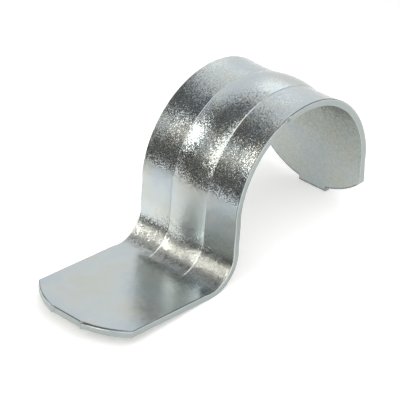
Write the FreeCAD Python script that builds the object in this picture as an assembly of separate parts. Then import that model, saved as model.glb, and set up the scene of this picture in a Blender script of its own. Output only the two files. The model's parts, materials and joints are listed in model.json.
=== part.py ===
import FreeCAD
import Part
import math
import os

# Driving dimensions, in millimetres and degrees
width = 30.0
thickness = 1.75
arch_inside_radius = 21.5
arch_sweep = 175.0
leg_length = 8.2
bend_radius = 7.4
foot_length = 25.4
end_length = 7.1
tip_radius = 21.3
corner_radius = 0.8
edge_roll = 0.25
parting_width = 8.6
nib_length = 1.1
notch_depth = 0.2
rib_width = 11.0
rib_height = 0.8
rib_crease_radius = 0.4
rib_fade_sweep = 45.0

# Derived sizes
half_width = width / 2
arch_outside_radius = arch_inside_radius + thickness
rib_foot_y = rib_width / 2
rib_slope = 2 * math.atan(rib_height / rib_foot_y)
rib_dome_radius = rib_foot_y / math.sin(rib_slope) - rib_crease_radius

# The conduit's axis is the Y axis, and its middle is the origin
axis = FreeCAD.Vector(0, 1, 0)
middle = FreeCAD.Vector(0, 0, 0)
bend_centre = FreeCAD.Vector(-arch_outside_radius - bend_radius, 0, -leg_length)
leg_foot = FreeCAD.Vector(0, 0, -leg_length)


def at(y, height, z=0.0):
    """A point of the strip's section where it enters the arch.

    The height is measured outward from the strip's outer face.
    """
    return FreeCAD.Vector(-arch_outside_radius - height, y, z)


def round_to(centre, radius, start, end):
    """An arc of the section between two directions, in radians from +Y towards outward."""
    angles = (start, (start + end) / 2, end)
    points = [at(centre[0] + radius * math.cos(a), centre[1] + radius * math.sin(a)) for a in angles]
    return Part.Arc(*points)


def rib_curves(depth):
    """The curves of the pressed rib: its crease on one side, and its domed top.

    Depth is 0 for the outer face and the thickness for the inner one. Both faces share the
    arcs' centres, so the pressed sheet keeps its thickness.
    """
    down = -math.pi / 2
    up = math.pi / 2
    crease = round_to((rib_foot_y, rib_crease_radius), rib_crease_radius + depth, down, down - rib_slope)
    dome_centre = (0, rib_height - rib_dome_radius)
    dome = round_to(dome_centre, rib_dome_radius - depth, up - rib_slope, up + rib_slope)
    return [crease, dome]


def lowered(curve, depth, share):
    """The curve with its height above one face of the flat sheet scaled to a share."""
    curve = curve.toBSpline()
    face = at(0, -depth).x
    for number, pole in enumerate(curve.getPoles(), 1):
        curve.setPole(number, FreeCAD.Vector(face + (pole.x - face) * share, pole.y, pole.z))
    return curve


def face_edges(depth, flat_end, share):
    """One face of the strip across its width, with the rib pressed to a share of its height."""
    curves = rib_curves(depth)
    if share < 1:
        curves = [lowered(curve, depth, share) for curve in curves]
    crease, dome = [curve.toShape() for curve in curves]
    flat = Part.makeLine(at(rib_foot_y, -depth), at(flat_end, -depth))
    half = [crease, flat]
    return half + [dome] + [edge.mirror(middle, axis) for edge in half]


def side_edges():
    """Both sides of the strip: a sheared face, and the edge that the shears rolled over."""
    slant = math.sqrt(0.5) * edge_roll
    roll_y = half_width - edge_roll
    roll = [at(roll_y, 0), at(roll_y + slant, slant - edge_roll), at(half_width, -edge_roll)]
    half = [Part.Arc(*roll).toBSpline().toShape(), Part.makeLine(roll[-1], at(half_width, -thickness))]
    return half + [edge.mirror(middle, axis) for edge in half]


def section(share):
    """The closed outline of the strip's section, with the rib at a share of its height."""
    outer = face_edges(0, half_width - edge_roll, share)
    inner = face_edges(thickness, half_width, share)
    return Part.Wire(Part.sortEdges(outer + inner + side_edges())[0])


def turned(shape, centre, angle):
    """A copy of the shape, turned about an axis along the conduit."""
    copy = shape.copy()
    copy.rotate(centre, axis, angle)
    return copy


def faded(centre, start, sweep):
    """A bent stretch of strip in which the rib dies away, from a start on the straight leg.

    The share of the rib's height that is left follows a smooth step, so that it has no kink.
    """
    wires = []
    for travel in (0, 0.25, 0.5, 0.75, 1):
        left = 1 - travel
        wire = section(left * left * (3 - 2 * left))
        wire.translate(start)
        wires.append(turned(wire, centre, sweep * travel))
    return Part.makeLoft(wires, True)


def tip_reach(y):
    """How far the round tip stands past the strip's side edge at a distance from its middle."""
    return math.sqrt(tip_radius ** 2 - y ** 2) - math.sqrt(tip_radius ** 2 - half_width ** 2)


def parting_block(start, end):
    """A block as wide as the cut between two straps, over a stretch of the strip's length."""
    return Part.makeBox(thickness, parting_width, end - start, at(-parting_width / 2, 0, start))


def tongue(length):
    """A flat end of the strip, with a round tip and rolled edges, going up from the section."""
    corners = [at(side * half_width, 0, z) for side, z in ((-1, length), (-1, 0), (1, 0), (1, length))]
    tip = Part.Arc(corners[3], at(0, 0, length + tip_reach(0)), corners[0]).toShape()
    outline = Part.Wire(Part.makePolygon(corners).Edges + [tip])
    plate = Part.Face(outline).extrude(FreeCAD.Vector(thickness, 0, 0))
    upright = [e for e in plate.Edges if e.BoundBox.XLength > thickness / 2]
    plate = plate.makeFillet(corner_radius, [e for e in upright if e.BoundBox.ZMin > length / 2])
    face_x = thickness / 2 - arch_outside_radius
    rims = [e for e in plate.Edges if e.BoundBox.XMax < face_x and e.BoundBox.ZMax > length / 2]
    return plate.makeFillet(edge_roll, rims)


def foot():
    """The flat foot, with the shallow notch where the next strap was parted off."""
    plate = tongue(foot_length)
    notch_floor = foot_length + tip_reach(parting_width / 2) - notch_depth
    plate = plate.cut(parting_block(notch_floor, foot_length + tip_reach(0) + notch_depth))
    plate = plate.mirror(middle, FreeCAD.Vector(0, 0, 1))
    plate.translate(leg_foot)
    return turned(plate, bend_centre, 90)


def bend():
    """The bend between the foot and the leg, over which the rib runs out."""
    return faded(bend_centre, leg_foot, 90)


def leg():
    """The straight leg beside the conduit, with the rib at its full height."""
    return Part.Face(section(1)).extrude(leg_foot)


def arch():
    """The arch over the conduit, with the rib dying away over its last stretch."""
    full_sweep = arch_sweep - rib_fade_sweep
    full = Part.Face(section(1)).revolve(middle, axis, full_sweep)
    fading = faded(middle, middle, rib_fade_sweep)
    return [full, turned(fading, middle, full_sweep)]


def end_leg():
    """The short free end, with the nib that was the last link to the next strap."""
    nib_end = end_length + tip_reach(parting_width / 2) + nib_length
    plate = tongue(end_length).fuse(parting_block(end_length, nib_end))
    return turned(plate, middle, arch_sweep)


def strap():
    """The whole strap, pressed from one piece of strip."""
    stretches = [bend(), leg()] + arch() + [end_leg()]
    return foot().multiFuse(stretches).removeSplitter().Solids[0]


os.makedirs("parts", exist_ok=True)
strap().exportStep("parts/strap.step")
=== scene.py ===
"""A pressed, zinc-plated conduit strap, standing on a pale studio floor."""

import json
import math
from types import SimpleNamespace

import bpy
import numpy as np
from bpy.props import FloatProperty, FloatVectorProperty, PointerProperty
from mathutils import Matrix, Vector


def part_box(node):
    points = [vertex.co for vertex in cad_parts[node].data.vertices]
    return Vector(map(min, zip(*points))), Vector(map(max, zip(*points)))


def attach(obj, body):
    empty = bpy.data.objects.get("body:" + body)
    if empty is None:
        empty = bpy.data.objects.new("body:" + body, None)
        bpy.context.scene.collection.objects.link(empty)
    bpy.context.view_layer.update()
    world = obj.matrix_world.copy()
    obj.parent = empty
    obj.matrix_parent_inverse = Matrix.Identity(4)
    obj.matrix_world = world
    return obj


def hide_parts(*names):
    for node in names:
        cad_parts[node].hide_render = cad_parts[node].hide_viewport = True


bl_info = {
    "name": "Conduit strap",
    "version": (1, 0, 0),
    "blender": (4, 5, 0),
    "location": "View3D > Sidebar > Strap",
    "description": "Makes a pressed, zinc-plated conduit strap and the studio that it is shown in",
    "category": "Object",
}

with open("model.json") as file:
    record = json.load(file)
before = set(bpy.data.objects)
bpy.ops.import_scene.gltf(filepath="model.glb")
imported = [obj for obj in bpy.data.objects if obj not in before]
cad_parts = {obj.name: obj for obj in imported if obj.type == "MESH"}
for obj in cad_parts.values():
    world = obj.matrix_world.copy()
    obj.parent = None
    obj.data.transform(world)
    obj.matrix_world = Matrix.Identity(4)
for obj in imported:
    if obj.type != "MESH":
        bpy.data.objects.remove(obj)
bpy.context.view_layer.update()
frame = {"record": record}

MM = 0.001
STRAP_NODE = "strap"
STRAP_BODY = "root"
SENSOR_MM = 36.0

# How far, in millimetres, a step of the notch or the nib is tested from its own column
HAIR = 0.02

# The angle between two faces past which the line between them is sharp
SHARP_ANGLE = math.radians(50.0)

# The share of white that the backdrop paper glows with, so that open paper is white
PAPER_GLOW = 0.31

# Vertices along one side of the tent's grid, and how far it comes down, from straight up
TENT_STEPS = 121
TENT_REACH = math.radians(125.0)

# The tent's cloth: its own light, and the panels laid over it, each over those before. A panel
# has the azimuth and the elevation of its middle over the floor, its half width, its half height
# and its soft rim, all in degrees, its colour and its light. Azimuth 0 is along the floor from
# the foot to the arch. The first two panels are dark, and the strap's dark bands mirror them.
TENT_LIGHT = 0.90
TENT_PANELS = (
    (155.0, 2.0, 56.0, 38.0, 16.0, "#FFFAF2", 0.10),
    (130.0, 65.0, 18.0, 18.0, 24.0, "#FFFFFF", 0.10),
    (143.0, 36.5, 15.0, 5.0, 7.0, "#FFFAF2", 0.72),
    (113.0, 25.5, 4.5, 5.5, 5.0, "#FFFCF6", 6.00),
    (182.0, 39.0, 8.0, 9.0, 7.0, "#FFFCF6", 3.60),
    (18.0, 36.0, 10.0, 6.5, 10.0, "#FFFFFF", 1.60),
    (-110.0, 55.0, 28.0, 19.0, 14.0, "#FFFFFF", 1.75),
    (-43.0, 20.0, 20.0, 20.0, 12.0, "#FFFFFF", 0.15),
)


def seat_radius():
    """The radius of the conduit's seat in millimetres, from the frame's record."""
    seats = [mount for mount in frame["record"]["mounts"] if mount["name"] == "conduit_seat"]
    return seats[0]["dims"]["r_mm"]


def strip_width():
    """The width of the strip in millimetres, from the frame's box of the strap."""
    low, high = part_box(STRAP_NODE)
    return (high[1] - low[1]) / MM


def foot_under():
    """The height of the foot's underside in millimetres, from the frame's box of the strap."""
    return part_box(STRAP_NODE)[0][2] / MM


def linear(hex_colour):
    """The linear RGB of an sRGB hex colour, with each channel taken through the sRGB curve."""
    channels = [int(hex_colour[i : i + 2], 16) / 255 for i in (1, 3, 5)]
    return tuple(c / 12.92 if c <= 0.04045 else ((c + 0.055) / 1.055) ** 2.4 for c in channels)


def length(name, millimetres, description):
    """A length that a user would change, given in millimetres and kept in metres."""
    return FloatProperty(
        name=name, description=description, default=millimetres * MM, subtype="DISTANCE", unit="LENGTH", precision=5
    )


def angle(name, degrees, description):
    """An angle that a user would change, given in degrees and kept in radians."""
    return FloatProperty(
        name=name, description=description, default=math.radians(degrees), subtype="ANGLE", unit="ROTATION"
    )


def colour(name, hex_colour, description):
    """A colour that a user would change."""
    return FloatVectorProperty(
        name=name, description=description, default=linear(hex_colour), subtype="COLOR", size=3, min=0.0, max=1.0
    )


def share(name, default, description):
    """A share between 0 and 1 that a user would change."""
    return FloatProperty(name=name, description=description, default=default, subtype="FACTOR", min=0.0, max=1.0)


def in_millimetres(group):
    """The values of a property group, with its lengths in millimetres."""
    values = {}
    for name, kind in group.bl_rna.properties.items():
        if kind.type == "FLOAT":
            value = getattr(group, name)
            values[name] = value / MM if kind.unit == "LENGTH" else value
    return SimpleNamespace(**values)


class StrapSizes(bpy.types.PropertyGroup):
    """The sizes of the pressed strip."""

    width: length("Width", strip_width(), "Width of the strip, along the conduit")
    thickness: length("Thickness", 1.75, "Thickness of the steel")
    arch_inside_radius: length("Arch radius", seat_radius(), "Inside radius of the arch")
    arch_sweep: angle("Arch sweep", 175.0, "How far the arch goes round the conduit")
    leg_length: length("Leg", 8.2, "Straight part between the bend and the arch")
    bend_radius: length("Bend radius", 7.4, "Radius of the bend on its hollow side")
    foot_length: length("Foot", 25.4, "Side edge of the foot")
    end_length: length("Free end", 7.1, "Side edge of the free end")
    tip_radius: length("Tip radius", 21.3, "Radius of both round tips")
    corner_radius: length("Corner radius", 0.8, "Radius where a tip meets a side")
    edge_roll: length("Edge roll", 0.25, "Radius that the shears rolled on the outer edges")
    edge_break: length("Edge break", 0.14, "Radius that tumbling left on the inner edges")
    parting_width: length("Parting width", 8.6, "Width of the cut between two straps")
    nib_length: length("Nib", 1.1, "How far the nib stands out of the free end")
    notch_depth: length("Notch", 0.2, "Depth of the notch in the foot")
    torn_tab: length("Torn tabs", 0.3, "Size of the torn tab at each end of the notch")
    rib_width: length("Rib width", 11.0, "Width of the rib between its creases")
    rib_height: length("Rib height", 0.8, "Height of the rib over the strip")
    rib_crease_radius: length("Crease radius", 0.4, "Radius of the rib's creases, outside")
    crease_line_depth: length("Crease line depth", 0.08, "Depth of the line that the press left in each crease")
    crease_line_width: length("Crease line width", 0.3, "Width of the line that the press left in each crease")
    rib_fade_sweep: angle("Rib fade", 45.0, "Last part of the arch, over which the rib dies away")
    tip_drag: length("Tip drag", 0.32, "How far the shears dragged the foot's tip down")
    nick_along: length("Nick place", 73.8, "Where the near edge of the arch is nicked, from the foot's corner")
    nick_push: length("Nick", 0.35, "How far the nick goes in")
    edge_lift: length("Edge lift", 0.25, "How far bending lifts the side edges outward")


class ZincFinish(bpy.types.PropertyGroup):
    """The colours and the grain of the plating, with the painted highlights and shade laid over it."""

    plating: colour("Plating", "#C5CCCC", "Bright zinc under a clear passivation film")
    blue_film: colour("Blue film", "#BFC9CE", "Plating where the film looks blue")
    straw_film: colour("Straw film", "#C6CAC5", "Plating where the film looks straw yellow")
    roughness: share("Roughness", 0.22, "Roughness of the plated faces")
    grain: length("Grain", 0.25, "Size of the steel's grain under the plating")
    grain_depth: length("Grain depth", 0.027, "Depth of the steel's grain under the plating")
    facet: length("Facet", 0.22, "Size of the bright facets that the steel's grain shows through the plating")
    facet_tilt: share("Facet tilt", 0.31, "How far the facets lean where the bend strained the steel")
    # Painted highlight: near-white plating over the bend's hollow, where its highlight band falls
    wear_and_highlight: colour("Bend highlight", "#FDFFF7", "Plating that the bending tool rubbed bright")
    # Painted highlight: white laid into the crease lines over the bend
    score_and_highlight: colour("Crease highlight", "#FFFFFF", "Plating in the crease lines, where the press scored it")
    sheared: colour("Sheared plating", "#A3ABAA", "Thinner, duller plating on the sheared faces")
    # Painted shade: dark lines on the free end's lower rim and on the top of the rolled rim
    rim_shade: colour("Rim shade", "#4E5251", "Dark plating on the free end's torn edge and in the rolled rim")
    # Painted shade: the inner face darkened, fully over most of the arch and less on the free end
    inside: colour("Inside shade", "#8A8E83", "Thinner plating on the inside, which faced away in the barrel")
    shear_lines: length("Shear lines", 0.35, "Spacing of the lines on the sheared faces")


class StudioLook(bpy.types.PropertyGroup):
    """The floor, the tent and the camera of the studio."""

    floor: colour("Floor", "#FFFFFF", "Colour of the backdrop paper")
    floor_size: length("Floor size", 280.0, "Width of the backdrop paper")
    tent_radius: length("Tent radius", 1450.0, "Radius of the cloth tent that lights the strap")
    camera_azimuth: angle("Azimuth", -46.87, "The camera's direction round the strap")
    camera_elevation: angle("Elevation", 32.67, "The camera's height over the floor")
    camera_distance: length("Distance", 558.25, "From the camera to the point that it looks at")
    lens: length("Lens", 204.87, "Focal length for a sensor that is 36 mm wide")
    target_along: length("Target along", 28.76, "Point looked at: along the floor from the heel")
    target_across: length("Target across", 15.64, "Point looked at: across the strap from its middle")


def stretches(sizes):
    """The strip's outer face as stretches of a length and a curvature, from the foot's corner."""
    outside = sizes.arch_inside_radius + sizes.thickness
    return [
        (sizes.foot_length, 0.0),
        (sizes.bend_radius * math.pi / 2, 1 / sizes.bend_radius),
        (sizes.leg_length, 0.0),
        (outside * sizes.arch_sweep, -1 / outside),
        (sizes.end_length, 0.0),
    ]


def stops(sizes):
    """The travel at which the foot, the bend, the leg, the arch and the free end stop."""
    return np.cumsum([run for run, _ in stretches(sizes)])


def path_start(sizes):
    """X and Z of the foot's side corner, on its upper face."""
    x = -(sizes.arch_inside_radius + sizes.thickness) - sizes.bend_radius - sizes.foot_length
    return x, foot_under() + sizes.thickness


def along_path(sizes, travel):
    """X, Z and heading of the outer face at each distance travelled from the foot's corner.

    Each stretch adds its own share of the travel: a straight one adds length times the unit
    heading, and a bent one adds the chord of its arc. The first and last go on straight.
    """
    parts = stretches(sizes)
    x, z = path_start(sizes)
    heading = np.zeros_like(travel)
    begin = 0.0
    turned = 0.0
    for number, (run, curvature) in enumerate(parts):
        low = -np.inf if number == 0 else 0.0
        high = np.inf if number == len(parts) - 1 else run
        local = np.clip(travel - begin, low, high)
        if curvature:
            x = x + (np.sin(turned + curvature * local) - math.sin(turned)) / curvature
            z = z - (np.cos(turned + curvature * local) - math.cos(turned)) / curvature
            heading = heading + curvature * local
            turned += curvature * run
        else:
            x = x + local * math.cos(turned)
            z = z + local * math.sin(turned)
        begin += run
    return x, z, heading


def smooth_step(value):
    """0 below 0, 1 above 1, and 3v² - 2v³ between."""
    value = np.clip(value, 0.0, 1.0)
    return value * value * (3 - 2 * value)


def between(travel, start, stop, run):
    """1 between two places and 0 beyond: a smooth step at each, over a run with it in the middle."""
    return smooth_step((travel - start) / run + 0.5) * smooth_step((stop - travel) / run + 0.5)


def rib_share(sizes, travel):
    """How much of the rib's height is left: it rises over the bend and dies on the arch's end."""
    foot_stop, bend_stop, _, arch_stop, _ = stops(sizes)
    fade = (sizes.arch_inside_radius + sizes.thickness) * sizes.rib_fade_sweep
    return smooth_step((travel - foot_stop) / (bend_stop - foot_stop)) * smooth_step((arch_stop - travel) / fade)


def rib_arcs(sizes):
    """The slope where the rib's crease runs into its dome, and the radius of the dome.

    Both arcs leave the flat sheet and the top of the dome level, so half the slope's tangent is
    the rib's height over half its width, and their radii add up to half the width over its sine.
    """
    slope = 2 * math.atan(2 * sizes.rib_height / sizes.rib_width)
    return slope, sizes.rib_width / 2 / math.sin(slope) - sizes.rib_crease_radius


def rib_profile(sizes, y, depth):
    """Height of the rib over one face of the sheet, at distances y from the middle.

    Depth is 0 for the outer face and the thickness for the inner one. From the crease, a hollow
    arc rises to the domed top, which is a round arc about a centre below. Both faces share the
    arcs' centres.
    """
    slope, dome = rib_arcs(sizes)
    away = np.abs(y)
    crease_y = sizes.rib_width / 2
    hollow = sizes.rib_crease_radius + depth
    rise = hollow - np.sqrt(np.maximum(hollow**2 - (crease_y - away) ** 2, 0.0))
    top = sizes.rib_height - dome + np.sqrt(np.maximum((dome - depth) ** 2 - away**2, 0.0)) + depth
    height = np.where(away > crease_y - hollow * math.sin(slope), rise, top)
    return np.where(away >= crease_y, 0.0, height)


def crease_line(sizes, y):
    """The fine line in each crease, as a share of its depth: a cosine squared over its width."""
    place = np.clip((np.abs(y) - sizes.rib_width / 2) / sizes.crease_line_width, -0.5, 0.5)
    return np.cos(math.pi * place) ** 2


def score_and_highlight(sizes, travel, y):
    """How strongly the crease lines are carried over the bend: their own profile, over the bend only. It deepens their
    groove there, and it lays a painted highlight in them.

    A smooth step brings the score in over the first 1.5 mm of the bend, and another takes it out
    over 2 mm about the bend's end.
    """
    foot_stop, bend_stop, _, _, _ = stops(sizes)
    over = smooth_step((travel - foot_stop) / 1.5) * smooth_step((bend_stop - travel) / 2.0 + 0.5)
    return over * crease_line(sizes, y)


def edge_lift(sizes, travel, y):
    """How far the side edges stand off the bent sheet.

    Bending makes a strip saddle-shaped, so its edges lift away from the centre of the bend: a
    square law over the outer third of the width, which fades in and out with the bending.
    """
    foot_stop, bend_stop, leg_stop, arch_stop, _ = stops(sizes)
    arch = between(travel, leg_stop, arch_stop, sizes.leg_length / 2)
    bend = between(travel, foot_stop, bend_stop, sizes.leg_length / 2)
    reach = sizes.width / 6
    outer = np.maximum(np.abs(y) - (sizes.width / 2 - reach), 0.0) / reach
    return sizes.edge_lift * outer**2 * (arch - bend)


def strained(sizes, travel):
    """How much forming strained the steel, which roughened it, as a number from 0 to 1.

    It is most over the tight bend, less on the arch and the free end, and least on the flat
    foot. A smooth step brings the bend's share in about its start, one takes it out past its
    end, and one brings the arch's share in over the leg. The largest of the three counts.
    """
    most, on_arch, on_foot = 0.8, 0.64, 0.18
    foot_stop, bend_stop, _, _, _ = stops(sizes)
    reach = sizes.bend_radius * 0.7
    bend = smooth_step((travel - foot_stop) / reach + 0.4) * smooth_step((bend_stop - travel) / reach + 0.7)
    arch = smooth_step((travel - bend_stop) / (2 * sizes.leg_length) + 0.35)
    return np.maximum(np.maximum(most * bend, on_arch * arch), on_foot)


def nick(sizes, travel, y, depth):
    """How far the nick pushes the near edge in: a bell curve along it and one down it.

    It is deepest 0.45 mm below the outer face. It moves the sheared edge only, and not the faces.
    """
    half_length, middle_depth, half_depth = 0.5, 0.45, 0.4
    along = (travel - sizes.nick_along) / half_length
    down = (depth - middle_depth) / half_depth
    on_edge = y < 0.1 - sizes.width / 2
    return np.where(on_edge, sizes.nick_push * np.exp(-(along**2) - down**2), 0.0)


def rub_and_highlight(sizes, travel):
    """How much the bending tool rubs the hollow of the bend, which roughens it; the same mask lays a painted highlight
    there.

    The place is -1 where the bend starts on the foot and 1 where it ends on the leg. The rub is
    full from -0.13 to 0.24, and a smooth step on each side takes it to nothing at -0.57 and 0.71.
    """
    foot_stop, bend_stop, _, _, _ = stops(sizes)
    half = (bend_stop - foot_stop) / 2
    place = (travel - foot_stop - half) / half
    return smooth_step(1.5 - 2.1 * place) * smooth_step(1.3 + 2.3 * place)


def held(sizes, travel):
    """How much the die's clamp matted the strip: it held the leg's top while it bent the rest.

    Its middle is at 0.85 of the leg. It is full to 0.3 of the leg's length from there, and a
    smooth step takes it to nothing at 0.9.
    """
    _, bend_stop, leg_stop, _, _ = stops(sizes)
    leg = leg_stop - bend_stop
    middle = bend_stop + 0.85 * leg
    return smooth_step(1.5 - np.abs(travel - middle) / (0.6 * leg))


def inside_shade(sizes, travel):
    """How dark the painted shade on the inside is.

    It is 1 to 0.8 of the arch, and a smooth step takes it from there to 0.4 at the free end.
    """
    _, _, leg_stop, arch_stop, end_stop = stops(sizes)
    fade_start = leg_stop + 0.80 * (arch_stop - leg_stop)
    return 1.0 - 0.6 * smooth_step((travel - fade_start) / (end_stop - fade_start))


def tip_drag(sizes, travel, y):
    """How far the shears dragged the foot's upper face down behind its cut tip.

    A square law from the cut back over a short reach. It is full beside the notch on the near
    side, where the shears were blunt, and about a third of that elsewhere.
    """
    reach, sharp = 1.0, 0.35
    flat_edge = sizes.width / 2 - sizes.edge_roll
    behind = travel + foot_reach(sizes, np.clip(y, -flat_edge, flat_edge), 0.0)
    blunt = sharp + (1 - sharp) * smooth_step((-y - sizes.parting_width / 2) / 0.3 + 0.5)
    return sizes.tip_drag * blunt * np.clip(1.0 - behind / reach, 0.0, 1.0) ** 2


def tip_reach(sizes, y, inset):
    """How far a round tip, shrunk by an inset, stands past the side corner at distances y.

    It is the tip's circle about a centre on the middle line, and near the side a small circle
    that rounds the corner and touches both the side and the tip's circle from inside.
    """
    away = np.abs(y)
    centre = math.sqrt(sizes.tip_radius**2 - (sizes.width / 2) ** 2)
    corner_y = sizes.width / 2 - sizes.corner_radius
    apart = sizes.tip_radius - sizes.corner_radius
    corner_s = math.sqrt(apart**2 - corner_y**2) - centre
    tip = np.sqrt((sizes.tip_radius - inset) ** 2 - away**2) - centre
    corner_radius = sizes.corner_radius - inset
    corner = corner_s + np.sqrt(np.maximum(corner_radius**2 - (away - corner_y) ** 2, 0.0))
    touch = corner_y * (sizes.tip_radius - inset) / apart
    return np.where(away > touch, corner, tip)


def foot_reach(sizes, y, inset):
    """The foot's round tip, with the shallow notch in its middle and a torn tab at each end of it.

    A tab is a triangle as high as it is wide on each side of its point.
    """
    tip = tip_reach(sizes, y, inset)
    half = sizes.parting_width / 2
    floor = tip_reach(sizes, np.array(half), 0.0) - sizes.notch_depth - inset
    from_point = np.abs(np.abs(y) - half - inset - sizes.torn_tab)
    tab = np.maximum(sizes.torn_tab - from_point, 0.0)
    return np.where(np.abs(y) < half + inset - HAIR, floor, tip + tab)


def end_reach(sizes, y, inset):
    """The free end's round tip with the nib in its middle."""
    tip = tip_reach(sizes, y, inset)
    half = sizes.parting_width / 2
    nib = tip_reach(sizes, np.array(half), 0.0) + sizes.nib_length - inset
    return np.where(np.abs(y) < half - inset + HAIR, nib, tip)


def stations(*runs):
    """Joined, evenly divided runs, each given as where it starts, where it ends and its steps."""
    pieces = [np.linspace(start, end, steps, endpoint=False) for start, end, steps in runs]
    return np.concatenate(pieces + [np.array([runs[-1][1]])])


def column_places(sizes, inset):
    """Distances from the middle line for the columns of the grid, from one side to the other.

    From the middle out, they are even over the notch and the nib, close about their steps, over
    the torn tabs and over the crease, even again, and close over the round corner of the tip.
    """
    corner_y = sizes.width / 2 - sizes.corner_radius
    small = sizes.corner_radius - inset
    crease = sizes.rib_width / 2
    half = sizes.parting_width / 2
    corner = corner_y + small * np.cos(np.radians([45.0, 30.0, 15.0, 0.0]))
    right = np.concatenate(
        [
            stations((0.0, half - inset - 0.15, 9)),
            [half - inset, half - inset + 0.05, half + inset - 0.05, half + inset],
            stations((half + inset + 0.1, crease - 0.3, 6)),
            stations((crease - 0.24, crease + 0.24, 12)),
            stations((crease + 0.5, corner[0] - 0.3, 18)),
            corner,
        ]
    )
    right[-1] = sizes.width / 2 - inset
    return np.concatenate([-right[:0:-1], right])


def face_grid(sizes, inset):
    """Travel and distance from the middle for the grid that covers one face of the sheet.

    Rows run across the strip. Over both flat ends they bend to follow the tip, because each
    column divides its own length there by the same shares. They are close together behind the
    cut tips, and over the bend and the arch.
    """
    foot_stop, bend_stop, leg_stop, arch_stop, end_stop = stops(sizes)
    y = column_places(sizes, inset)
    foot = stations((0.0, 0.04, 8), (0.04, 0.1, 4), (0.1, 1.0, 26))[:, None]
    foot_tip = -foot_reach(sizes, y, inset)[None, :]
    straight_from = foot_stop * 0.9
    foot_rows = foot_tip + foot * (straight_from - foot_tip)
    bent = stations(
        (straight_from, bend_stop, 36),
        (bend_stop, leg_stop, 12),
        (leg_stop, arch_stop, 200),
    )[1:, None]
    bent_rows = np.broadcast_to(bent, (len(bent), len(y)))
    end = stations((0.0, 0.85, 18), (0.85, 1.0, 5))[1:, None]
    end_tip = (end_stop + end_reach(sizes, y, inset))[None, :]
    end_rows = arch_stop + end * (end_tip - arch_stop)
    travel = np.concatenate([foot_rows, bent_rows, end_rows])
    return travel, np.broadcast_to(y, travel.shape)


def rim(rows, columns):
    """The numbers of the vertices on a grid's rim, once round."""
    index = np.arange(rows * columns).reshape(rows, columns)
    return np.concatenate([index[0, :-1], index[:-1, -1], index[-1, :0:-1], index[:0:-1, 0]])


def closed_steps(travel, y):
    """The distance from each vertex of the closed outline to the next."""
    return np.hypot(np.roll(travel, -1) - travel, np.roll(y, -1) - y)


def outward_mitre(travel, y):
    """For each vertex of the closed outline, the step that moves both its edges out by one.

    It is the sum of the two edges' outward normals over one plus their dot product. The floor on
    the last keeps the step at a sharp corner short.
    """
    ahead = np.stack([np.roll(travel, -1) - travel, np.roll(y, -1) - y]) / closed_steps(travel, y)
    normal_ahead = np.stack([-ahead[1], ahead[0]])
    normal_behind = np.roll(normal_ahead, 1, axis=1)
    spread = 1 + np.sum(normal_ahead * normal_behind, axis=0)
    return (normal_ahead + normal_behind) / np.maximum(spread, 0.6)


def edge_profile(sizes):
    """The sheared edge of the sheet, as steps out from the faces' rims and depths below.

    A quarter circle that the shears rolled, a straight wall with a slight hollow where the
    steel tore, and a small quarter circle that tumbling left.
    """
    hollow = 0.02
    roll = np.radians(np.linspace(0.0, 90.0, 6))
    wall = np.linspace(0.0, 1.0, 6)[1:-1]
    wear_and_highlight = np.radians(np.linspace(0.0, 90.0, 4))
    wall_top = sizes.edge_roll
    wall_end = sizes.thickness - sizes.edge_break
    out = np.concatenate(
        [
            sizes.edge_roll * np.sin(roll),
            sizes.edge_roll - hollow * np.sin(math.pi * wall),
            sizes.edge_roll - sizes.edge_break * (1 - np.cos(wear_and_highlight)),
        ]
    )
    depth = np.concatenate(
        [
            sizes.edge_roll * (1 - np.cos(roll)),
            wall_top + wall * (wall_end - wall_top),
            wall_end + sizes.edge_break * np.sin(wear_and_highlight),
        ]
    )
    return out, depth


def placed(sizes, travel, y, depth, rib_depth):
    """Points of the bent sheet in metres: the path, plus the height along its outward normal.

    The rib depth says which of the rib's faces is taken, and only the outer one has the crease
    lines. The drag of the tip fades evenly down the edge.
    """
    drag_depth = 0.7
    x, z, heading = along_path(sizes, travel)
    left = rib_share(sizes, travel)
    pressed = crease_line(sizes, y) * (rib_depth == 0.0) * np.maximum(left, score_and_highlight(sizes, travel, y))
    rib = rib_profile(sizes, y, rib_depth) * left - sizes.crease_line_depth * pressed
    dragged = tip_drag(sizes, travel, y) * np.clip(1.0 - depth / drag_depth, 0.0, 1.0)
    height = rib + edge_lift(sizes, travel, y) - depth - dragged
    y = y + nick(sizes, travel, y, depth)
    return np.stack([x - np.sin(heading) * height, y, z + np.cos(heading) * height], axis=-1) * MM


def grid_quads(rows, columns):
    """The quads of a grid of vertices, which are numbered row by row."""
    index = np.arange(rows * columns).reshape(rows, columns)
    return np.stack([index[:-1, :-1], index[:-1, 1:], index[1:, 1:], index[1:, :-1]], axis=-1).reshape(-1, 4)


def edge_marks(sizes, count, outline, rim_travel, depth):
    """The marks that only the edge between the two faces has, at each ring's depth.

    The sheared wall starts below the rolled rim and stops at the tumbled one, with a smooth step at each. The top of
    the rolled rim has a faint painted dark line, which stands in for shade. The free end's lower rim is torn past its
    side corners, and a painted dark shade runs along it.
    """
    around = len(outline)
    faces = np.zeros(2 * count)
    wall = smooth_step((depth - 0.1) / 0.3) * smooth_step((sizes.thickness - depth) / 0.1)
    # Painted shade: a dark line along the top of the rolled rim
    rolled = 0.7 * (depth < 0.06)
    torn = rim_travel > stops(sizes)[-1] + 0.4
    # Painted shade along the free end's lower rim, on the inner face's rim and the last ring
    rim_shade = np.zeros(2 * count + len(depth) * around)
    rim_shade[count + outline] = torn
    rim_shade[-around:] = torn
    return {
        "rim_shade": rim_shade,
        "sheared": np.concatenate([faces, np.repeat(wall, around)]),
        "rolled": np.concatenate([faces, np.repeat(rolled, around)]),
    }


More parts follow.
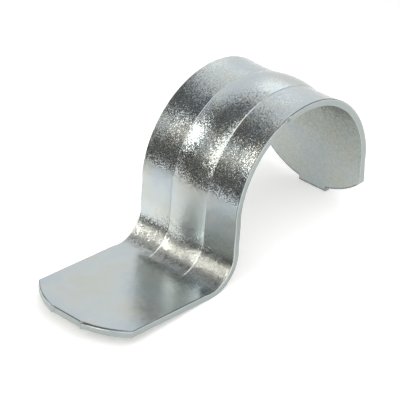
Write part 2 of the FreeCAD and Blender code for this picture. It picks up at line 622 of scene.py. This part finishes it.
def strap_surface(sizes):
    """The whole closed surface of the strap: vertices, quads, sheet coordinates and marks.

    The outer face and the inner face are one grid each, mapped onto the bent sheet. The edge
    between them is a band of rings, each the outline moved out by its place in the edge's
    profile. The first ring is the outer face's rim, and the last is the inner face's.

    The sheet coordinates are in millimetres, one pair for each corner of each quad: along and
    across the flat strip on the faces, and along and down the outline on the edge. Each mark is
    a number from 0 to 1 for each vertex, which the plating reads.
    """
    travel, y = face_grid(sizes, sizes.edge_roll)
    rows, columns = travel.shape
    count = rows * columns
    outline = rim(rows, columns)
    around = len(outline)
    flat_travel = travel.ravel()
    flat_y = y.ravel()
    rim_travel = flat_travel[outline]
    rim_y = flat_y[outline]
    step = outward_mitre(rim_travel, rim_y)
    out, depth = edge_profile(sizes)

    inner_travel = flat_travel.copy()
    inner_y = flat_y.copy()
    inner_travel[outline] += step[0] * out[-1]
    inner_y[outline] += step[1] * out[-1]
    outer = placed(sizes, flat_travel, flat_y, 0.0, 0.0)
    inner = placed(sizes, inner_travel, inner_y, sizes.thickness, sizes.thickness)
    ring_travel = rim_travel + step[0] * out[1:-1, None]
    ring_y = rim_y + step[1] * out[1:-1, None]
    ring_depth = np.broadcast_to(depth[1:-1, None], ring_y.shape)
    rings = placed(sizes, ring_travel, ring_y, ring_depth, ring_depth)
    vertices = np.concatenate([outer, inner, rings.reshape(-1, 3)])

    ring_index = 2 * count + np.arange(ring_y.size).reshape(-1, around)
    index = np.concatenate([outline[None], ring_index, outline[None] + count])
    beside = np.roll(index, -1, axis=1)
    band = np.stack([index[:-1], beside[:-1], beside[1:], index[1:]], axis=-1).reshape(-1, 4)
    outer_quads = grid_quads(rows, columns)[:, ::-1]
    inner_quads = grid_quads(rows, columns) + count
    quads = np.concatenate([outer_quads, inner_quads, band])

    flat = np.stack([flat_travel, flat_y], axis=-1)
    run = np.concatenate([[0.0], np.cumsum(closed_steps(rim_travel, rim_y))])
    down = np.concatenate([[0.0], np.cumsum(np.hypot(np.diff(out), np.diff(depth)))])
    run_here, down_here = np.meshgrid(run[:-1], down[:-1])
    run_next, down_next = np.meshgrid(run[1:], down[1:])
    band_sheet = np.stack(
        [run_here, down_here, run_next, down_here, run_next, down_next, run_here, down_next], axis=-1
    )
    sheet = np.concatenate(
        [flat[outer_quads.ravel()], flat[inner_quads.ravel() - count], band_sheet.reshape(-1, 2)]
    )

    every_travel = np.concatenate([flat_travel, inner_travel, ring_travel.ravel()])
    every_y = np.concatenate([flat_y, inner_y, ring_y.ravel()])
    marks = edge_marks(sizes, count, outline, rim_travel, depth[1:-1])
    marks["strained"] = strained(sizes, every_travel)
    marks["rub_and_highlight"] = rub_and_highlight(sizes, every_travel)
    marks["held"] = held(sizes, every_travel)
    marks["score_and_highlight"] = score_and_highlight(sizes, every_travel, every_y)
    # Painted shade on the inner face only
    marks["inside"] = np.concatenate([np.zeros(count), inside_shade(sizes, inner_travel), np.zeros(ring_y.size)])
    return vertices, quads, sheet, marks


def mesh_object(name, vertices, quads, material):
    """A smooth mesh object at the origin, from whole arrays of vertices and quads."""
    mesh = bpy.data.meshes.new(name)
    mesh.from_pydata(vertices.tolist(), [], quads.tolist())
    mesh.materials.append(material)
    mesh.shade_smooth()
    made = bpy.data.objects.new(name, mesh)
    bpy.context.scene.collection.objects.link(made)
    return made


def store(mesh, name, values):
    """Keeps one number or colour for each vertex under a name that a material can read."""
    kind, slot = ("FLOAT", "value") if values.ndim == 1 else ("FLOAT_COLOR", "color")
    attribute = mesh.attributes.new(name, kind, "POINT")
    attribute.data.foreach_set(slot, np.ascontiguousarray(values, dtype=np.float32).ravel())


def store_uv(mesh, name, values):
    """Keeps one pair of coordinates for each corner of each quad as a UV map."""
    layer = mesh.uv_layers.new(name=name)
    layer.uv.foreach_set("vector", np.ascontiguousarray(values, dtype=np.float32).ravel())


def node(tree, kind, links=None, **settings):
    """Adds a node with its settings, and with its inputs' values or the outputs that feed them."""
    made = tree.nodes.new(kind)
    for key, value in settings.items():
        setattr(made, key, value)
    for key, value in (links or {}).items():
        if isinstance(value, bpy.types.NodeSocket):
            tree.links.new(value, made.inputs[key])
        else:
            made.inputs[key].default_value = value
    return made


def new_tree(owner):
    """An empty node tree on a material or a world."""
    owner.use_nodes = True
    owner.node_tree.nodes.clear()
    return owner.node_tree


def scale_for(size):
    """The scale of a pattern over places in metres, whose features have a size in millimetres."""
    return 1 / (size * MM)


def plating_tone(tree, finish, place):
    """The plating's colour: the film's tints, and over them the colour of each mark.

    The film goes from blue to straw in soft areas of about 9 mm. Over the bend's hollow a painted highlight brightens
    the plating in a fine speckle, which is drawn at 0.3 mm because the real grit is too fine to show. A painted
    highlight whitens the crease lines over the bend. The inside's painted shade and the painted dark line on the free
    end's rim are patchy, and the one on the rolled rim is even.
    """
    tints = node(tree, "ShaderNodeTexNoise", {"Vector": place, "Scale": scale_for(9.0), "Detail": 3.0})
    film = node(tree, "ShaderNodeValToRGB", {"Fac": tints.outputs["Fac"]})
    film.color_ramp.elements[0].position = 0.36
    film.color_ramp.elements[0].color = (*finish.blue_film, 1.0)
    film.color_ramp.elements[1].position = 0.66
    film.color_ramp.elements[1].color = (*finish.straw_film, 1.0)
    film.color_ramp.elements.new(0.5).color = (*finish.plating, 1.0)

    fine = {"Vector": place, "Scale": scale_for(0.3), "Detail": 3.0, "Roughness": 0.8}
    fine = node(tree, "ShaderNodeTexNoise", fine).outputs["Fac"]
    # The speckle that breaks up the bend's painted highlight
    highlight_speckle = node(tree, "ShaderNodeMapRange", {"Value": fine, "From Min": 0.42, "From Max": 0.50}).outputs[0]
    uneven = {"Vector": place, "Scale": scale_for(0.7), "Detail": 5.0, "Roughness": 0.75}
    uneven = node(tree, "ShaderNodeTexNoise", uneven).outputs["Fac"]
    patches = {"Value": uneven, "From Min": 0.38, "From Max": 0.62, "To Min": 0.5, "To Max": 1.0}
    patches = node(tree, "ShaderNodeMapRange", patches).outputs[0]

    tone = film.outputs["Color"]
    # Over the film: the painted highlights of the bend and the crease lines, the inside's painted shade, the sheared
    # edge's own duller colour, and the painted dark lines on the rims
    covers = (
        ("rub_and_highlight", highlight_speckle, finish.wear_and_highlight),
        ("score_and_highlight", 0.4, finish.score_and_highlight),
        ("inside", patches, finish.inside),
        ("sheared", 1.0, finish.sheared),
        ("rolled", 1.0, finish.rim_shade),
        ("rim_shade", patches, finish.rim_shade),
    )
    for mark, strength, over in covers:
        cover = node(tree, "ShaderNodeAttribute", attribute_name=mark).outputs["Fac"]
        cover = node(tree, "ShaderNodeMath", {0: cover, 1: strength}, operation="MULTIPLY").outputs[0]
        tone = node(tree, "ShaderNodeMixRGB", {"Fac": cover, "Color1": tone, "Color2": (*over, 1.0)}).outputs[0]
    return tone


def plating_normal(tree, finish, place):
    """The plating's relief: the steel's grain, and the lines that the shears left on the edge.

    The grain is facets, which lean the normal in small cells, and a fine bump over them. Both
    follow the strain. The real grain is finer than the picture shows, so it is drawn as coarse
    as it needs to be to sparkle. The shear lines run down the edge, eight times as long as they
    are wide.
    """
    strained = node(tree, "ShaderNodeAttribute", attribute_name="strained").outputs["Fac"]
    cells = node(tree, "ShaderNodeTexVoronoi", {"Vector": place, "Scale": scale_for(finish.facet)}).outputs["Color"]
    lean = node(tree, "ShaderNodeVectorMath", {0: cells, 1: (0.5, 0.5, 0.5)}, operation="SUBTRACT").outputs[0]
    tilt = node(tree, "ShaderNodeMath", {0: strained, 1: finish.facet_tilt}, operation="MULTIPLY").outputs[0]
    lean = node(tree, "ShaderNodeVectorMath", {0: lean, "Scale": tilt}, operation="SCALE").outputs[0]
    normal = node(tree, "ShaderNodeNewGeometry").outputs["Normal"]
    leaning = node(tree, "ShaderNodeVectorMath", {0: normal, 1: lean}, operation="ADD").outputs[0]
    facets = node(tree, "ShaderNodeVectorMath", {0: leaning}, operation="NORMALIZE").outputs[0]

    waves = node(tree, "ShaderNodeTexNoise", {"Vector": place, "Scale": scale_for(finish.grain), "Detail": 1.0})
    strength = node(tree, "ShaderNodeMath", {0: strained, 1: 1.5}, operation="MULTIPLY", use_clamp=True)
    grain = node(
        tree,
        "ShaderNodeBump",
        {
            "Height": waves.outputs["Fac"],
            "Strength": strength.outputs[0],
            "Distance": finish.grain_depth * MM,
            "Normal": facets,
        },
    )

    sheet = node(tree, "ShaderNodeUVMap", uv_map="sheet").outputs["UV"]
    narrow, long = 1 / finish.shear_lines, 0.12 / finish.shear_lines
    down_edge = node(tree, "ShaderNodeMapping", {"Vector": sheet, "Scale": (narrow, long, 1.0)}).outputs["Vector"]
    lines = node(tree, "ShaderNodeTexNoise", {"Vector": down_edge, "Scale": 1.0, "Detail": 3.0})
    sheared = node(tree, "ShaderNodeAttribute", attribute_name="sheared").outputs["Fac"]
    strength = node(tree, "ShaderNodeMath", {0: sheared, 1: 0.6}, operation="MULTIPLY")
    relief = node(
        tree,
        "ShaderNodeBump",
        {
            "Height": lines.outputs["Fac"],
            "Strength": strength.outputs[0],
            "Distance": 0.08 * MM,
            "Normal": grain.outputs["Normal"],
        },
    )
    return relief.outputs["Normal"]


def plating_roughness(tree, finish, place):
    """The plating's roughness: a slow drift about its own value, and more where it is marked."""
    drift = 0.04
    slow = node(tree, "ShaderNodeTexNoise", {"Vector": place, "Scale": scale_for(1.6), "Detail": 2.0})
    span = {"From Min": 0.3, "From Max": 0.7, "To Min": finish.roughness - drift, "To Max": finish.roughness + drift}
    rough = node(tree, "ShaderNodeMapRange", {"Value": slow.outputs["Fac"], **span}).outputs[0]
    for mark, more in (("sheared", 0.12), ("rub_and_highlight", 0.12), ("held", 0.16)):
        cover = node(tree, "ShaderNodeAttribute", attribute_name=mark).outputs["Fac"]
        rough = node(tree, "ShaderNodeMath", {0: cover, 1: more, 2: rough}, operation="MULTIPLY_ADD").outputs[0]
    return rough


def zinc_plating(finish):
    """Bright zinc, barrel plated on pressed steel strip, under a clear passivation film.

    The zinc mirrors its surroundings softly, and the film tints it from pale blue to straw from place to place. Where
    forming strained the steel, its roughened grain breaks the reflections into fine sparkle, over the bend and the
    arch, while the flat foot stays smooth and the part of the leg that the die held is matt. The bending tool roughens
    the bend's hollow, where a painted highlight also brightens it, and painted highlights whiten the crease lines over
    the bend. A painted shade darkens the inside, the plating is dull with lines down it on the sheared edge, and
    painted dark lines run along the free end's lower rim and the top of the rolled rim.
    """
    material = bpy.data.materials.new("zinc_plating")
    tree = new_tree(material)
    place = node(tree, "ShaderNodeTexCoord").outputs["Object"]
    shader = node(
        tree,
        "ShaderNodeBsdfPrincipled",
        {
            "Base Color": plating_tone(tree, finish, place),
            "Metallic": 1.0,
            "Roughness": plating_roughness(tree, finish, place),
            "Normal": plating_normal(tree, finish, place),
        },
    )
    node(tree, "ShaderNodeOutputMaterial", {"Surface": shader.outputs[0]})
    return material


def floor_slope(sizes):
    """The heel's centre and radius in millimetres, and the slope of the floor that it rests on.

    The strap rests on the outside of its bend and on its nib. The floor is the line from the
    nib that touches the heel's circle from below: the slope of the line between their centres,
    plus the angle whose sine is the heel's radius over their distance.
    """
    nib_travel = stops(sizes)[-1] + float(end_reach(sizes, np.array(0.0), 0.0))
    depth = np.array([0.0, sizes.thickness])
    nib = placed(sizes, np.full(2, nib_travel), np.zeros(2), depth, depth) / MM
    heel = path_start(sizes) + np.array([sizes.foot_length, sizes.bend_radius])
    radius = sizes.thickness + sizes.bend_radius
    reach = nib[:, ::2] - heel
    slopes = np.arctan2(reach[:, 1], reach[:, 0]) + np.arcsin(radius / np.hypot(reach[:, 0], reach[:, 1]))
    return heel, radius, float(slopes.min())


def floor_frame(sizes):
    """The floor's own frame: its origin under the heel, and its turn about the strap's Y axis."""
    heel, radius, slope = floor_slope(sizes)
    turn = Matrix.Rotation(-slope, 3, "Y")
    touch = Vector((heel[0], 0.0, heel[1])) - radius * (turn @ Vector((0.0, 0.0, 1.0)))
    return touch * MM, turn


def in_floor_frame(origin, turn, points):
    """Points given in the floor's frame, as points of the strap's frame."""
    return points @ np.array(turn).T + np.array(origin)


def add_camera(origin, turn, look):
    """The camera, set by its direction and distance over the tilted floor."""
    azimuth = look.camera_azimuth
    elevation = look.camera_elevation
    flat = math.cos(elevation)
    back = Vector((math.sin(azimuth) * flat, -math.cos(azimuth) * flat, math.sin(elevation)))
    right = Vector((0.0, 0.0, 1.0)).cross(back).normalized()
    axes = Matrix((right, back.cross(right), back)).transposed()
    target = origin + turn @ Vector((look.target_along, look.target_across, 0.0)) * MM
    data = bpy.data.cameras.new("camera")
    data.lens = look.lens
    data.sensor_width = SENSOR_MM
    data.clip_start = 0.01
    made = bpy.data.objects.new("camera", data)
    made.matrix_world = Matrix.Translation(target + turn @ back * look.camera_distance * MM) @ (turn @ axes).to_4x4()
    bpy.context.scene.collection.objects.link(made)
    bpy.context.scene.camera = made


def backdrop_paper(look):
    """Matt white paper, seen from above only.

    It keeps the soft shadow, and it is white to the camera, to a reflection and through glass
    where the light falls on it openly.
    """
    material = bpy.data.materials.new("backdrop_paper")
    tree = new_tree(material)
    path = node(tree, "ShaderNodeLightPath").outputs
    seen = path["Is Camera Ray"]
    for ray in ("Is Glossy Ray", "Is Transmission Ray"):
        seen = node(tree, "ShaderNodeMath", {0: seen, 1: path[ray]}, operation="MAXIMUM").outputs[0]
    matt = node(tree, "ShaderNodeBsdfDiffuse", {"Color": (*look.floor, 1.0)}).outputs[0]
    lift = node(tree, "ShaderNodeMath", {0: seen, 1: PAPER_GLOW}, operation="MULTIPLY").outputs[0]
    white = node(tree, "ShaderNodeEmission", {"Color": (*look.floor, 1.0), "Strength": lift}).outputs[0]
    paper = node(tree, "ShaderNodeAddShader", {0: matt, 1: white}).outputs[0]
    clear = node(tree, "ShaderNodeBsdfTransparent").outputs[0]
    below = node(tree, "ShaderNodeNewGeometry").outputs["Backfacing"]
    sided = node(tree, "ShaderNodeMixShader", {0: below, 1: paper, 2: clear}).outputs[0]
    node(tree, "ShaderNodeOutputMaterial", {"Surface": sided})
    return material


def add_floor(origin, turn, look):
    """A flat sheet of paper under the strap."""
    half = look.floor_size / 2
    corners = np.array([(-half, -half, 0), (half, -half, 0), (half, half, 0), (-half, half, 0)]) * MM
    floor = mesh_object("floor", in_floor_frame(origin, turn, corners), np.array([[0, 1, 2, 3]]), backdrop_paper(look))


def tent_cloth():
    """The lit cloth of the tent, which glows with the tone kept in its mesh."""
    material = bpy.data.materials.new("tent_cloth")
    tree = new_tree(material)
    tone = node(tree, "ShaderNodeAttribute", attribute_name="tone").outputs["Color"]
    glow = node(tree, "ShaderNodeEmission", {"Color": tone, "Strength": 1.0}).outputs[0]
    node(tree, "ShaderNodeOutputMaterial", {"Surface": glow})
    return material


def tent_directions(steps, reach):
    """Directions on a dome, as a square grid pressed onto a disc and bent over the floor.

    A point (u, v) of the square goes to (u sqrt(1 - v²/2), v sqrt(1 - u²/2)) on the disc, and
    its distance from the middle is its share of the reach, an angle from straight up.
    """
    u, v = np.meshgrid(np.linspace(-1, 1, steps), np.linspace(-1, 1, steps))
    x = u * np.sqrt(1 - v**2 / 2)
    y = v * np.sqrt(1 - u**2 / 2)
    away = np.hypot(x, y)
    bent = np.sinc(away * reach / np.pi) * reach
    return np.stack([x * bent, y * bent, np.cos(away * reach)], axis=-1).reshape(-1, 3)


def towards(azimuth, elevation):
    """The direction at an azimuth and an elevation in degrees, in the floor's frame."""
    azimuth = math.radians(azimuth)
    elevation = math.radians(elevation)
    flat = math.cos(elevation)
    return np.array([math.cos(azimuth) * flat, math.sin(azimuth) * flat, math.sin(elevation)])


def tent_tones(directions):
    """The tone of the tent's cloth in each direction: each panel is laid over those before.

    A direction's place on a panel is its angle from the panel's middle, split into a part to
    the side and a part upward. The panel is whole to its half width and half height, and fades
    over its soft rim.
    """
    tone = np.full((len(directions), 3), TENT_LIGHT)
    for azimuth, elevation, half_width, half_height, rim_width, hex_colour, light in TENT_PANELS:
        away = np.degrees(np.arccos(np.clip(directions @ towards(azimuth, elevation), -1, 1)))
        side = directions @ towards(azimuth + 90, 0)
        up = directions @ towards(azimuth, elevation + 90)
        scale = away / np.maximum(np.hypot(side, up), 1e-9)
        cover = smooth_step((half_width + rim_width - np.abs(side * scale)) / rim_width)
        cover = cover * smooth_step((half_height + rim_width - np.abs(up * scale)) / rim_width)
        tone = tone + cover[:, None] * (np.array(linear(hex_colour)) * light - tone)
    return np.concatenate([tone, np.ones((len(tone), 1))], axis=1)


def add_tent(origin, turn, look):
    """A dome of lit cloth over the floor. It is seen in reflections, and not by the camera."""
    directions = tent_directions(TENT_STEPS, TENT_REACH)
    points = in_floor_frame(origin, turn, directions * look.tent_radius * MM)
    tent = mesh_object("tent", points, grid_quads(TENT_STEPS, TENT_STEPS), tent_cloth())
    store(tent.data, "tone", tent_tones(directions))
    tent.visible_camera = False


def add_world():
    """A plain white room round the tent."""
    world = bpy.data.worlds.new("white_room")
    bpy.context.scene.world = world
    tree = new_tree(world)
    background = node(tree, "ShaderNodeBackground", {"Color": (1.0, 1.0, 1.0, 1.0), "Strength": 1.0})
    node(tree, "ShaderNodeOutputWorld", {"Surface": background.outputs[0]})


class STRAP_OT_press_strap(bpy.types.Operator):
    """Makes the strap as one closed sheet of plated steel"""

    bl_idname = "conduit_strap.press_strap"
    bl_label = "Press the strap"

    def execute(self, context):
        sizes = in_millimetres(context.scene.strap_sizes)
        finish = in_millimetres(context.scene.zinc_finish)
        vertices, quads, sheet, marks = strap_surface(sizes)
        piece = mesh_object("pressed_strap", vertices, quads, zinc_plating(finish))
        store_uv(piece.data, "sheet", sheet)
        for name, values in marks.items():
            store(piece.data, name, values)
        piece.data.set_sharp_from_angle(angle=SHARP_ANGLE)
        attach(piece, STRAP_BODY)
        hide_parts(STRAP_NODE)
        return {"FINISHED"}


class STRAP_OT_set_studio(bpy.types.Operator):
    """Sets up the paper floor, the cloth tent and the camera"""

    bl_idname = "conduit_strap.set_studio"
    bl_label = "Set up the studio"

    def execute(self, context):
        look = in_millimetres(context.scene.studio_look)
        origin, turn = floor_frame(in_millimetres(context.scene.strap_sizes))
        add_floor(origin, turn, look)
        add_tent(origin, turn, look)
        add_world()
        add_camera(origin, turn, look)
        context.scene.view_settings.view_transform = "Standard"
        return {"FINISHED"}


class STRAP_PT_panel(bpy.types.Panel):
    """Lists the steps that make the strap and its studio."""

    bl_idname = "STRAP_PT_panel"
    bl_label = "Conduit strap"
    bl_space_type = "VIEW_3D"
    bl_region_type = "UI"
    bl_category = "Strap"

    def draw(self, context):
        for operator in OPERATORS:
            self.layout.operator(operator.bl_idname)
        for settings in SETTINGS:
            group = getattr(context.scene, settings)
            for name in group.__annotations__:
                self.layout.prop(group, name)


OPERATORS = (STRAP_OT_press_strap, STRAP_OT_set_studio)
SETTINGS = {"strap_sizes": StrapSizes, "zinc_finish": ZincFinish, "studio_look": StudioLook}


def register():
    """Registers the settings, the operators and the panel."""
    for name, group in SETTINGS.items():
        bpy.utils.register_class(group)
        setattr(bpy.types.Scene, name, PointerProperty(type=group))
    for shown in (*OPERATORS, STRAP_PT_panel):
        bpy.utils.register_class(shown)


def unregister():
    """Takes the panel, the operators and the settings out again."""
    for shown in (STRAP_PT_panel, *reversed(OPERATORS)):
        bpy.utils.unregister_class(shown)
    for name, group in reversed(SETTINGS.items()):
        delattr(bpy.types.Scene, name)
        bpy.utils.unregister_class(group)


def main():
    """Makes the strap and its studio."""
    register()
    bpy.ops.conduit_strap.press_strap()
    bpy.ops.conduit_strap.set_studio()
    bpy.context.view_layer.update()


if __name__ == "__main__":
    main()
